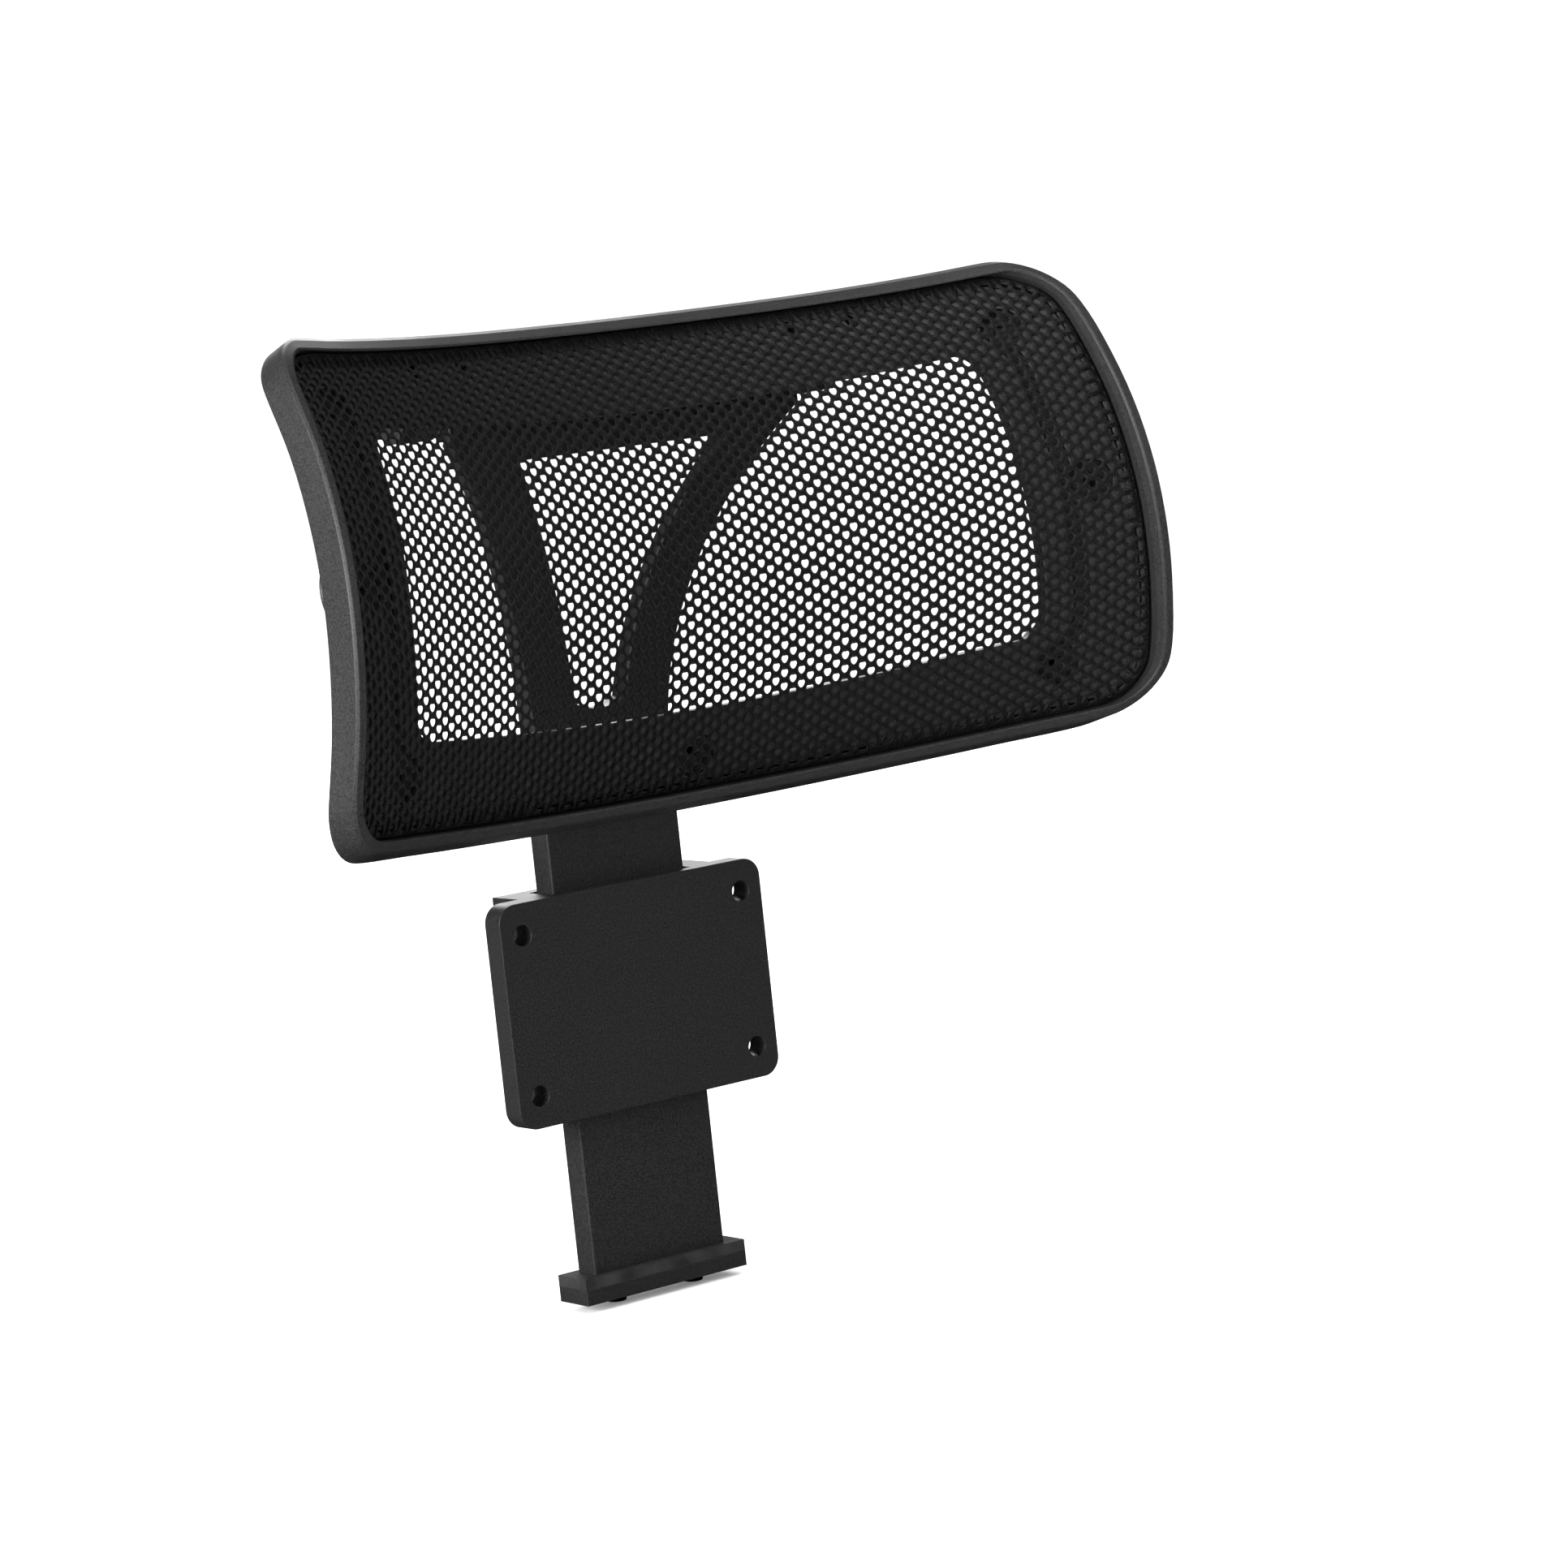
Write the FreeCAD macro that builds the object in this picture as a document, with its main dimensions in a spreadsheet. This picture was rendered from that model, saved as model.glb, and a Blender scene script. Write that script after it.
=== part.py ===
# Chair headrest attachment: a saddle-shaped mesh headrest that tilts on a V-shaped yoke, whose flat
# stem slides in a sleeve that bolts to the back of a chair.
# Frame: X across, -Y towards the sitter, +Z up. The origin is the centre of the four mounting holes
# on the sleeve's mounting face. Millimetres.
import FreeCAD, Part
import Sketcher
import math
import os

from FreeCAD import Placement, Rotation, Vector

doc = FreeCAD.newDocument("HeadrestAttachment")

# ---------------------------------------------------------------- driving dimensions
SIZES = {
    # headrest: the saddle and the outline of its front lip, about the lip's centre
    "face_height": 135, "face_depth": -54.9,
    "wing_radius": 295, "wing_climb": 0.155, "top_radius": 116, "base_radius": 143,
    "saddle_low": -10,
    "face_half": 150, "face_taper": -4.9, "face_bow": -1.1,
    "face_top": 74, "top_rise": 3.8, "top_curl": 3.7, "face_base": -74, "base_rise": 8.5,
    "top_corner": 19, "top_corner_drop": 18, "base_corner": 18.6,
    "rear_corner": 38, "rear_corner_drop": 17, "rear_bevel": 0.7,
    "rim_flare": 1.2, "rim_drop": 1.95, "rim_depth": 12.5, "wall": 3,
    "lip_width": 3.9, "lip_height": 2.3, "lip_edge": 0.4, "lip_back": 1.2,
    "crest_inset": 0.8, "crest_height": 1.3,
    "flange_width": 13, "flange_front": 7.2, "flange_back": 9.75, "flange_corner": 20,
    "flange_inset": 0.9, "flange_drop": 1.25,
    # cloth, its strip and the carrier, as distances behind the lip's outer edge
    "cloth_front": 3.3, "cloth_back": 4.0, "cloth_inset": 4.9,
    "strip_outer": 4.4, "strip_inner": 5.9, "strip_front": 4.15, "strip_back": 6.9,
    "carrier_inset": 6.7, "carrier_front": 4.2, "carrier_back": 7.0,
    "window_half": 116.4, "window_taper": -4.5, "window_bow": -2.9,
    "window_top": 45.1, "window_top_rise": 11, "window_base": -45.4, "window_base_rise": 12,
    "window_corner": 7, "rib_width": 2.5, "rib_back": 8.4,
    "channel_near": 8, "channel_far": 13, "channel_floor": 5.6, "channel_start": 119,
    # screw bosses and turrets, as distances behind the carrier's front, square to it
    "boss_outer": 8.5, "boss_core": 7, "boss_floor": 2.6, "boss_back": 6,
    "cup_bore": 9, "cup_wall": 10.5, "cup_back": 10.4, "screw_pilot": 2, "screw_hole": 2.3,
    "screw_shank": 1.9, "head_small": 3.0, "head_large": 3.6, "head_deep": 2.2, "head_seat": 4.2,
    "socket_key": 1.45, "socket_deep": 1.4, "hinge_screw_tip": 6.5,
    # hinge
    "hinge_y": -18, "hinge_z": 187, "barrel_radius": 7.5, "barrel_half": 65, "pin_radius": 3,
    "pin_half": 78, "bush_outer": 4.5, "bush_length": 14, "bush_collar": 7, "bush_collar_thick": 1,
    "running_gap": 0.05, "washer_thick": 1.2, "knuckle_start": 67.5, "knuckle_thick": 8,
    "knuckle_radius": 8, "foot_thick": 3, "foot_start": 56, "foot_end": 87,
    "foot_low": 59, "foot_high": 70.5, "foot_screw_near": 61.6, "foot_screw_far": 81.4,
    "foot_screw_up": 65, "foot_turret": 5.1, "foot_turret_back": 17.2,
    "clip_radius": 5, "clip_thick": 1, "cap_radius": 7.8, "cap_wall": 1.2, "cap_deep": 5.2,
    # yoke
    "stem_front": 6, "stem_back": 15, "stem_half": 25, "stem_low": -89, "bend_height": 72,
    "lean_radius": 188, "lean_rise": 105, "arm_thick": 5, "arm_middle_thick": 6,
    "arm_start": 72, "arm_radius": 158, "arm_width": 16.5, "hole_top": 34.8, "hole_low": 92,
    "hole_sag": 2.5,
    "notch_radius": 2, "notch_depth": 1.6, "notch_half": 10, "notch_pitch": 10, "notch_count": 6,
    # stop
    "stop_half": 31, "stop_front": 3, "stop_rear": 18, "stop_thick": 5, "bumper_thick": 3.4,
    "stop_screw_across": 15,
    # sleeve
    "sleeve_half_high": 35, "ear_half": 50, "ear_thick": 8, "ear_corner": 6,
    "block_half": 37, "block_back": 16.6, "channel_half": 27, "channel_front": 4.4,
    "mount_across": 84, "mount_up": 50, "mount_hole": 3.3,
    "cover_back": 23.6, "cover_screw_across": 32, "cover_screw_up": 28,
    "liner_gap": 0.15, "liner_reach": 12, "liner_clear": 0.1,
    "spring_half": 7, "spring_thick": 0.8, "spring_foot": 22, "spring_length": 26,
    "spring_pocket": 20.4,
}
sheet = doc.addObject("Spreadsheet::Sheet", "Sizes")
for row, (name, value) in enumerate(SIZES.items(), start=1):
    sheet.set(f"A{row}", name)
    sheet.set(f"B{row}", str(value))
    sheet.setAlias(f"B{row}", name)
doc.recompute()

# Places of the screws that join ring and carrier: across and up from the face's centre.
RING_SCREWS = [(-123, 58), (123, 58), (-133.5, 8), (133.5, 8), (-122, -48), (122, -48), (0, -59.5)]
ALONG_Y = Rotation(Vector(1, 0, 0), -90)
ALONG_X = Rotation(Vector(0, 1, 0), 90)


def size(name):
    """A driving dimension, read from the sheet."""
    return float(sheet.get(name))


# ---------------------------------------------------------------- document helpers
def primitive(kind, name, bindings, where=None):
    """A Part primitive whose properties follow expressions on the sheet."""
    solid = doc.addObject(kind, name)
    for prop, expression in bindings.items():
        solid.setExpression(prop, expression)
    if where is not None:
        solid.Placement = where
    return solid


def boolean(kind, name, base, tools):
    """Fuse or cut; the label of a finished sub-part is its name."""
    if kind == "Cut":
        tool = tools[0] if len(tools) == 1 else boolean("Fuse", name + "_tools", tools[0], tools[1:])
        cut = doc.addObject("Part::Cut", name)
        cut.Base = base
        cut.Tool = tool
        return cut
    fuse = doc.addObject("Part::MultiFuse", name)
    fuse.Shapes = [base] + tools
    return fuse


def group(name, members):
    """Separate solids in one node."""
    compound = doc.addObject("Part::Compound", name)
    compound.Links = members
    return compound


def body(name):
    return doc.addObject("PartDesign::Body", name)


def sketch(owner, name, role, shift=None):
    """An empty sketch on one of the body's own origin planes, moved along its normal by shift."""
    plane = [item for item in owner.Origin.OriginFeatures if item.Role == role][0]
    made = owner.newObject("Sketcher::SketchObject", name)
    made.AttachmentSupport = [(plane, "")]
    made.MapMode = "FlatFace"
    if shift is not None:
        made.setExpression(".AttachmentOffset.Base.z", shift)
    return made


def term(text):
    """Number and expression of a coordinate written as a signed sheet name, such as "-stem_half"."""
    sign = -1 if text.startswith("-") else 1
    name = text.lstrip("-")
    return sign * size(name), ("-" if sign < 0 else "") + "Sizes." + name


def bind(made, kind, first, second, value, expression):
    index = made.addConstraint(Sketcher.Constraint(kind, first, second, value))
    made.setExpression(f"Constraints[{index}]", expression)


def outline(made, corners):
    """A closed outline of straight lines whose corners are bound to the sheet."""
    points = [(term(across), term(up)) for across, up in corners]
    count = len(points)
    start = made.GeometryCount
    for here, there in zip(points, points[1:] + points[:1]):
        ends = [Vector(point[0][0], point[1][0], 0) for point in (here, there)]
        made.addGeometry(Part.LineSegment(ends[0], ends[1]), False)
    for step, point in enumerate(points):
        made.addConstraint(Sketcher.Constraint("Coincident", start + step, 2,
                                               start + (step + 1) % count, 1))
        bind(made, "DistanceX", start + step, 1, point[0][0], point[0][1])
        bind(made, "DistanceY", start + step, 1, point[1][0], point[1][1])


def rectangle(made, left, right, low, high):
    outline(made, [(left, low), (right, low), (right, high), (left, high)])


def circle(made, across, up, radius):
    """A circle at a fixed place, with its radius bound to the sheet."""
    index = made.addGeometry(Part.Circle(Vector(across, up, 0), Vector(0, 0, 1), size(radius)), False)
    made.addConstraint(Sketcher.Constraint("DistanceX", index, 3, across))
    made.addConstraint(Sketcher.Constraint("DistanceY", index, 3, up))
    bound = made.addConstraint(Sketcher.Constraint("Radius", index, size(radius)))
    made.setExpression(f"Constraints[{bound}]", "Sizes." + radius)


def pad(owner, name, profile, length, midplane=False, reverse=False):
    made = owner.newObject("PartDesign::Pad", name)
    made.Profile = profile
    made.Midplane = midplane
    made.Reversed = reverse
    made.setExpression("Length", length)
    profile.Visibility = False
    return made


def pocket(owner, name, profile, length, midplane=False, reverse=False):
    made = owner.newObject("PartDesign::Pocket", name)
    made.Profile = profile
    made.Midplane = midplane
    made.Reversed = reverse
    made.setExpression("Length", length)
    return made


# ---------------------------------------------------------------- the saddle and its outlines
def saddle(across, up, behind):
    """Point of the saddle surface, shifted backwards by behind. The saddle is a vertical profile of
    two tangent arcs carried along an arc that brings both wings forward and a little up."""
    wing = size("wing_radius") - math.sqrt(size("wing_radius") ** 2 - across ** 2)
    reach = up - size("wing_climb") * wing - size("saddle_low")
    radius = size("top_radius") if reach > 0 else size("base_radius")
    lean = radius - math.sqrt(radius ** 2 - reach ** 2)
    return Vector(across, size("face_depth") - wing + lean + behind, size("face_height") + up)


def slab(front, back):
    """The layer of space between two saddle surfaces, larger than the headrest."""
    grid = [[saddle(15 * i, 9.2 * j, front) for j in range(-10, 11)] for i in range(-11, 12)]
    surface = Part.BSplineSurface()
    surface.interpolate(grid)
    return surface.toShape().extrude(Vector(0, back - front, 0))


def corner(start, bend, end, steps=7):
    """Points of a rounded corner: a cubic curve that leaves and meets both sides in line."""
    pull = 0.5523
    points = []
    for step in range(steps):
        along = step / steps
        back = 1 - along
        point = []
        for s, c, e in zip(start, bend, end):
            first = s + pull * (c - s)
            second = e + pull * (c - e)
            point.append(back ** 3 * s + 3 * back ** 2 * along * first
                         + 3 * back * along ** 2 * second + along ** 3 * e)
        points.append(tuple(point))
    return points


def rounded_loop(half, top, base, top_corner, top_drop, base_corner):
    """Closed loop of points, clockwise from the middle of the top: half gives the half width at a
    height, top and base give the heights at a distance across."""
    steps = 8
    high = top(half(0))
    low = base(half(0))
    wide = half(high)
    deep = half(low)
    side = [(s / steps * (wide - top_corner), top(s / steps * (wide - top_corner)))
            for s in range(steps)]
    side += corner((wide - top_corner, top(wide - top_corner)), (wide, high),
                   (half(high - top_drop), high - top_drop))
    upper = high - top_drop
    lower = low + base_corner
    side += [(half(upper + s / steps * (lower - upper)), upper + s / steps * (lower - upper))
             for s in range(steps)]
    side += corner((half(lower), lower), (deep, low), (deep - base_corner, base(deep - base_corner)))
    side += [((1 - s / steps) * (deep - base_corner), base((1 - s / steps) * (deep - base_corner)))
             for s in range(steps)]
    side.append((0, base(0)))
    return side + [(-across, up) for across, up in side[-2:0:-1]]


def face_loop(inset, round_to=None, behind=0):
    """The headrest's outline, moved inwards by inset. The top corners grow with the distance behind
    the lip's outer edge, from the front corner's sizes to the rear corner's."""
    share = behind / size("rim_depth")

    def grown(front, rear):
        return max(size(front) + share * (size(rear) - size(front)) - inset, 3.5)

    def half(up):
        slope = up / 80
        return size("face_half") + size("face_taper") * slope + size("face_bow") * slope ** 2 - inset

    def top(across):
        share = across / 150
        return size("face_top") + size("top_rise") * share ** 2 + size("top_curl") * share ** 4 - inset

    def base(across):
        return size("face_base") + size("base_rise") * (across / 150) ** 2 + inset

    rounds = [grown("top_corner", "rear_corner"), grown("top_corner_drop", "rear_corner_drop"),
              grown("base_corner", "base_corner")]
    if round_to is not None:
        rounds = [round_to] * 3
    return rounded_loop(half, top, base, *rounds)


def window_loop(inset):
    """The carrier's window, moved inwards by inset; a negative inset widens it."""
    def half(up):
        slope = up / 80
        return size("window_half") + size("window_taper") * slope + size("window_bow") * slope ** 2 - inset

    def top(across):
        return size("window_top") + size("window_top_rise") * (across / 150) ** 2 - inset

    def base(across):
        return size("window_base") + size("window_base_rise") * (across / 150) ** 2 + inset

    return rounded_loop(half, top, base, *[size("window_corner") - inset] * 3)


def closed_curve(points):
    curve = Part.BSplineCurve()
    curve.interpolate(Points=points, PeriodicFlag=True)
    return curve.toShape()


def prism(loop, drop=0):
    """A loop of points carried from far in front of the headrest to far behind it."""
    height = size("face_height") - drop
    edge = closed_curve([Vector(across, -200, height + up) for across, up in loop])
    return Part.Face(Part.Wire([edge])).extrude(Vector(0, 400, 0))


def swept_ring(section):
    """A ring whose section's corners are given as inset, distance behind the lip's outer edge and
    distance down."""
    curves = [closed_curve([saddle(across, up, behind) - Vector(0, 0, drop)
                            for across, up in face_loop(inset, behind=behind)])
              for inset, behind, drop in section]
    strips = [Part.makeRuledSurface(one, two) for one, two in zip(curves, curves[1:] + curves[:1])]
    shell = Part.Shell([face for strip in strips for face in strip.Faces])
    shell.sewShape()
    solid = Part.Solid(shell)
    if solid.Volume < 0:
        solid.reverse()
    return solid


def post(place, radius, start, end):
    """A round post along Y at a place on the face, from one distance behind the saddle to another."""
    foot = saddle(place[0], place[1], start)
    return Part.makeCylinder(radius, end - start, foot, Vector(0, 1, 0))


def square_post(place, radius, start, end):
    """A round post square to the carrier's front, between two distances behind it."""
    foot, backwards = square_line(place)
    return Part.makeCylinder(radius, end - start, foot + backwards * start, backwards)


def square_line(place):
    """The point on the carrier's front at a place, and the direction square to it, backwards."""
    front = size("carrier_front")
    across, up = place
    along = saddle(across + 1, up, front) - saddle(across - 1, up, front)
    upwards = saddle(across, up + 1, front) - saddle(across, up - 1, front)
    return saddle(across, up, front), upwards.cross(along).normalize()


def feature(name, shape):
    made = doc.addObject("Part::Feature", name)
    made.Shape = shape
    made.Placement = Placement()
    return made


def hinge_screw_places():
    return [(side * size(name), size("foot_screw_up")) for side in (-1, 1)
            for name in ("foot_screw_near", "foot_screw_far")]


# ---------------------------------------------------------------- headrest
def frame_ring():
    """Outer wall that flares towards the back, bevelled lip, rear flange and the turrets that take
    the screw heads."""
    wall_back = size("rim_depth")
    flare = size("rim_flare")
    drop = size("rim_drop")
    lip = size("lip_width")
    height = size("lip_height")
    edge = size("lip_edge")
    bevel = size("rear_bevel")
    ring = swept_ring([
        (0, 0, 0), (size("crest_inset"), -size("crest_height"), 0), (lip - 2 * edge, -height, 0),
        (lip - edge / 2, edge - height, 0), (lip, size("lip_back"), 0),
        (size("wall") - flare, wall_back, drop), (bevel - flare, wall_back, drop),
        (-flare, wall_back - bevel, drop),
    ])
    layer = slab(size("flange_front"), size("flange_back"))
    outline_loop = face_loop(size("flange_inset"), behind=size("flange_front"))
    flange = layer.common(prism(outline_loop, size("flange_drop")))
    flange = flange.cut(prism(face_loop(size("flange_width"), size("flange_corner"))))
    in_front = slab(-60, size("flange_front"))
    turrets = [square_post(place, size("cup_wall"), 0, size("cup_back")) for place in RING_SCREWS]
    turrets = [turret.cut(in_front) for turret in turrets]
    cuts = []
    seat = size("cup_back") - size("head_deep")
    for place in RING_SCREWS:
        cuts.append(square_post(place, size("cup_bore"), -20, size("boss_back") + 0.2))
        cuts.append(square_post(place, size("screw_hole"), -20, 30))
        cuts.append(square_post(place, size("head_seat"), seat, 30))
    for place in hinge_screw_places():
        cuts.append(post(place, size("screw_pilot"), -20, 30))
    return feature("frame_ring", ring.fuse(flange.fuse(turrets).cut(cuts)))


def mesh_carrier():
    """Inner ring under the cloth: window with a stiffening rib behind it, a channel beside the window
    and cored screw bosses."""
    layer = slab(size("carrier_front"), size("carrier_back"))
    in_front = slab(-60, size("carrier_front"))
    plate = layer.common(prism(face_loop(size("carrier_inset"), behind=size("carrier_back"))))
    rib_layer = slab(size("carrier_back") - 0.5, size("rib_back"))
    rib = rib_layer.common(prism(window_loop(-size("rib_width"))))
    bosses = [square_post(place, size("boss_outer"), -5, size("boss_back")) for place in RING_SCREWS]
    bosses = [boss.cut(in_front) for boss in bosses]
    ring = plate.fuse([rib] + bosses)
    channel = slab(-60, size("channel_floor")).common(prism(window_loop(-size("channel_far"))))
    channel = channel.cut(prism(window_loop(-size("channel_near"))))
    middle = Part.makeBox(2 * size("channel_start"), 400, 400,
                          Vector(-size("channel_start"), -200, -100))
    cuts = [prism(window_loop(0)), channel.cut(middle)]
    for place in RING_SCREWS:
        cuts.append(square_post(place, size("boss_core"), -20, size("boss_floor")))
        cuts.append(square_post(place, size("screw_pilot"), -20, 30))
    for place in hinge_screw_places():
        cuts.append(post(place, size("screw_pilot"), -20, 30))
    return feature("mesh_carrier", ring.cut(cuts))


def mesh_panel():
    """The stretched cloth, as a plain closed sheet over the carrier."""
    layer = slab(size("cloth_front"), size("cloth_back"))
    outer = face_loop(size("cloth_inset"), behind=size("cloth_back"))
    return feature("mesh_panel", layer.common(prism(outer)))


def mesh_retaining_strip():
    """Strip along the cloth's edge, in the groove between the ring's wall and the carrier."""
    outer = size("strip_outer")
    inner = size("strip_inner")
    return feature("mesh_retaining_strip", swept_ring([
        (outer, size("strip_front"), 0), (inner, size("strip_front"), 0),
        (inner, size("strip_back"), 0), (outer, size("strip_back"), 0),
    ]))


def hinge_bracket(side, name):
    """Foot that follows the flange's back, two screw turrets, and the knuckle round the pin."""
    skin = size("flange_back") + 0.1
    foot = slab(skin, skin + size("foot_thick"))
    width = size("foot_end") - size("foot_start")
    block = Part.makeBox(width, 200, size("foot_high") - size("foot_low"),
                         Vector(size("foot_start"), -100, size("face_height") + size("foot_low")))
    block = block.makeFillet(4, [edge for edge in block.Edges if edge.Length > 190])
    foot = foot.common(block)
    start = size("knuckle_start")
    pin = Vector(start, size("hinge_y"), size("hinge_z"))
    eye = Part.makeCylinder(size("knuckle_radius"), size("knuckle_thick"), pin, Vector(1, 0, 0))
    high = size("face_height") + size("foot_high") - 2
    rear = pin.y + size("knuckle_radius")
    web = Part.makePolygon([
        Vector(start, pin.y - 4, pin.z), Vector(start, rear, pin.z),
        Vector(start, rear + 1, high - 8), Vector(start, rear - 3, high),
        Vector(start, pin.y - 16, high), Vector(start, pin.y - 16, pin.z + 6),
        Vector(start, pin.y - 4, pin.z),
    ])
    web = Part.Face(web).extrude(Vector(size("knuckle_thick"), 0, 0))
    turrets = [post((size(key), size("foot_screw_up")), size("foot_turret"), 0, size("foot_turret_back"))
               for key in ("foot_screw_near", "foot_screw_far")]
    in_front = slab(-80, skin + size("foot_thick") / 3)
    solid = foot.fuse([shape.cut(in_front) for shape in [eye, web] + turrets])
    cuts = [Part.makeCylinder(size("pin_radius") + size("running_gap"), 40,
                              pin - Vector(10, 0, 0), Vector(1, 0, 0))]
    for key in ("foot_screw_near", "foot_screw_far"):
        place = (size(key), size("foot_screw_up"))
        cuts.append(post(place, size("screw_hole"), -20, 40))
        cuts.append(post(place, size("head_seat"), size("foot_turret_back") - size("head_deep"), 40))
    solid = solid.cut(cuts).removeSplitter()
    if side < 0:
        solid = solid.mirror(Vector(0, 0, 0), Vector(1, 0, 0))
    return feature(name, solid)


# ---------------------------------------------------------------- screws
def screw(name, foot, turn, length):
    """A socket-head screw: foot is the centre of the head's underside, turn points the head."""
    shank = primitive("Part::Cylinder", name + "_shank", {"Radius": "Sizes.screw_shank"})
    shank.Height = length
    shank.Placement = Placement(foot, turn) * Placement(Vector(0, 0, -length), Rotation())
    head = primitive("Part::Cone", name + "_head", {
        "Radius1": "Sizes.head_large", "Radius2": "Sizes.head_small", "Height": "Sizes.head_deep"},
        Placement(foot, turn))
    key = primitive("Part::Prism", name + "_key", {
        "Circumradius": "Sizes.socket_key", "Height": "Sizes.socket_deep + 1"})
    key.Polygon = 6
    top = size("head_deep") - size("socket_deep")
    key.Placement = Placement(foot, turn) * Placement(Vector(0, 0, top), Rotation())
    return boolean("Cut", name, boolean("Fuse", name + "_blank", shank, [head]), [key])


def screws():
    """Every group of screws, each group one sub-part of separate solids."""
    ring = []
    seat = size("cup_back") - size("head_deep")
    for step, place in enumerate(RING_SCREWS):
        foot, backwards = square_line(place)
        ring.append(screw(f"ring_screw_{step}", foot + backwards * seat,
                          Rotation(Vector(0, 0, 1), backwards), seat - size("boss_floor") - 0.4))
    hinge = []
    seat = size("foot_turret_back") - size("head_deep")
    for step, place in enumerate(hinge_screw_places()):
        foot = saddle(place[0], place[1], seat)
        hinge.append(screw(f"hinge_screw_{step}", foot, ALONG_Y, seat - size("hinge_screw_tip")))
    sleeve = []
    for across in (-1, 1):
        for up in (-1, 1):
            foot = Vector(across * size("cover_screw_across"), size("cover_back") - size("head_deep"),
                          up * size("cover_screw_up"))
            sleeve.append(screw(f"sleeve_screw_{across}_{up}", foot, ALONG_Y, 15))
    stop = []
    low = size("stem_low") - size("stop_thick")
    middle = (size("stem_front") + size("stem_back")) / 2
    for across in (-1, 1):
        foot = Vector(across * size("stop_screw_across"), middle, low)
        stop.append(screw(f"stop_screw_{across}", foot, Rotation(Vector(1, 0, 0), 180), 14))
    spring = []
    for up in (-1, 1):
        foot = Vector(0, size("cover_back"), up * size("spring_foot"))
        spring.append(screw(f"spring_screw_{up}", foot, ALONG_Y, 4.6))
    group("carrier_screws", ring)
    group("hinge_bracket_screws", hinge)
    group("sleeve_screws", sleeve)
    group("stem_stop_screws", stop)
    group("detent_spring_screws", spring)


# ---------------------------------------------------------------- hinge hardware
def hinge_place(across):
    return Placement(Vector(across, size("hinge_y"), size("hinge_z")), ALONG_X)


def hinge_parts():
    """Pin along the whole hinge; bushes, washers, clips and caps at both of its ends."""
    pin = primitive("Part::Cylinder", "hinge_pin", {
        "Radius": "Sizes.pin_radius", "Height": "2 * Sizes.pin_half"}, hinge_place(-size("pin_half")))
    pin.Label = "hinge_pin"
    clips = []
    barrel_half = size("barrel_half")
    knuckle_end = size("knuckle_start") + size("knuckle_thick")
    for side, word in ((-1, "left"), (1, "right")):
        def along(start, length):
            """Placement of a piece that spans start to start + length on this side."""
            return hinge_place(start if side > 0 else -start - length)

        inner = barrel_half - size("bush_length")
        tube = primitive("Part::Cylinder", f"bush_tube_{word}", {
            "Radius": "Sizes.bush_outer", "Height": "Sizes.bush_length"},
            along(inner, size("bush_length")))
        collar = primitive("Part::Cylinder", f"bush_collar_{word}", {
            "Radius": "Sizes.bush_collar", "Height": "Sizes.bush_collar_thick"},
            along(barrel_half, size("bush_collar_thick")))
        bore = primitive("Part::Cylinder", f"bush_bore_{word}", {
            "Radius": "Sizes.pin_radius + Sizes.running_gap", "Height": "2 * Sizes.bush_length"},
            along(inner - 2, 2 * size("bush_length")))
        boolean("Cut", f"hinge_bush_{word}", boolean("Fuse", f"bush_blank_{word}", tube, [collar]), [bore])
        start = barrel_half + size("bush_collar_thick") + 0.1
        disc = primitive("Part::Cylinder", f"washer_disc_{word}", {
            "Radius": "Sizes.bush_collar", "Height": "Sizes.washer_thick"},
            along(start, size("washer_thick")))
        eye = primitive("Part::Cylinder", f"washer_eye_{word}", {
            "Radius": "Sizes.pin_radius + 0.2", "Height": "3 * Sizes.washer_thick"},
            along(start - 1, 3 * size("washer_thick")))
        boolean("Cut", f"friction_washer_{word}", disc, [eye])
        start = knuckle_end + 0.1
        ring = primitive("Part::Cylinder", f"clip_disc_{word}", {
            "Radius": "Sizes.clip_radius", "Height": "Sizes.clip_thick"}, along(start, size("clip_thick")))
        hollow = primitive("Part::Cylinder", f"clip_eye_{word}", {
            "Radius": "Sizes.pin_radius + 0.02", "Height": "4 * Sizes.clip_thick"},
            along(start - 1, 4 * size("clip_thick")))
        clips.append(boolean("Cut", f"hinge_clip_{word}", ring, [hollow]))
        start = knuckle_end + 0.02
        cover = primitive("Part::Cylinder", f"cap_outer_{word}", {
            "Radius": "Sizes.cap_radius", "Height": "Sizes.cap_deep"}, along(start, size("cap_deep")))
        inside = size("cap_deep") - size("cap_wall")
        hollow = primitive("Part::Cylinder", f"cap_inner_{word}", {
            "Radius": "Sizes.cap_radius - Sizes.cap_wall", "Height": "Sizes.cap_deep"},
            along(start + inside - size("cap_deep"), size("cap_deep")))
        boolean("Cut", f"hinge_cap_{word}", cover, [hollow])
    group("hinge_clips", clips)


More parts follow.
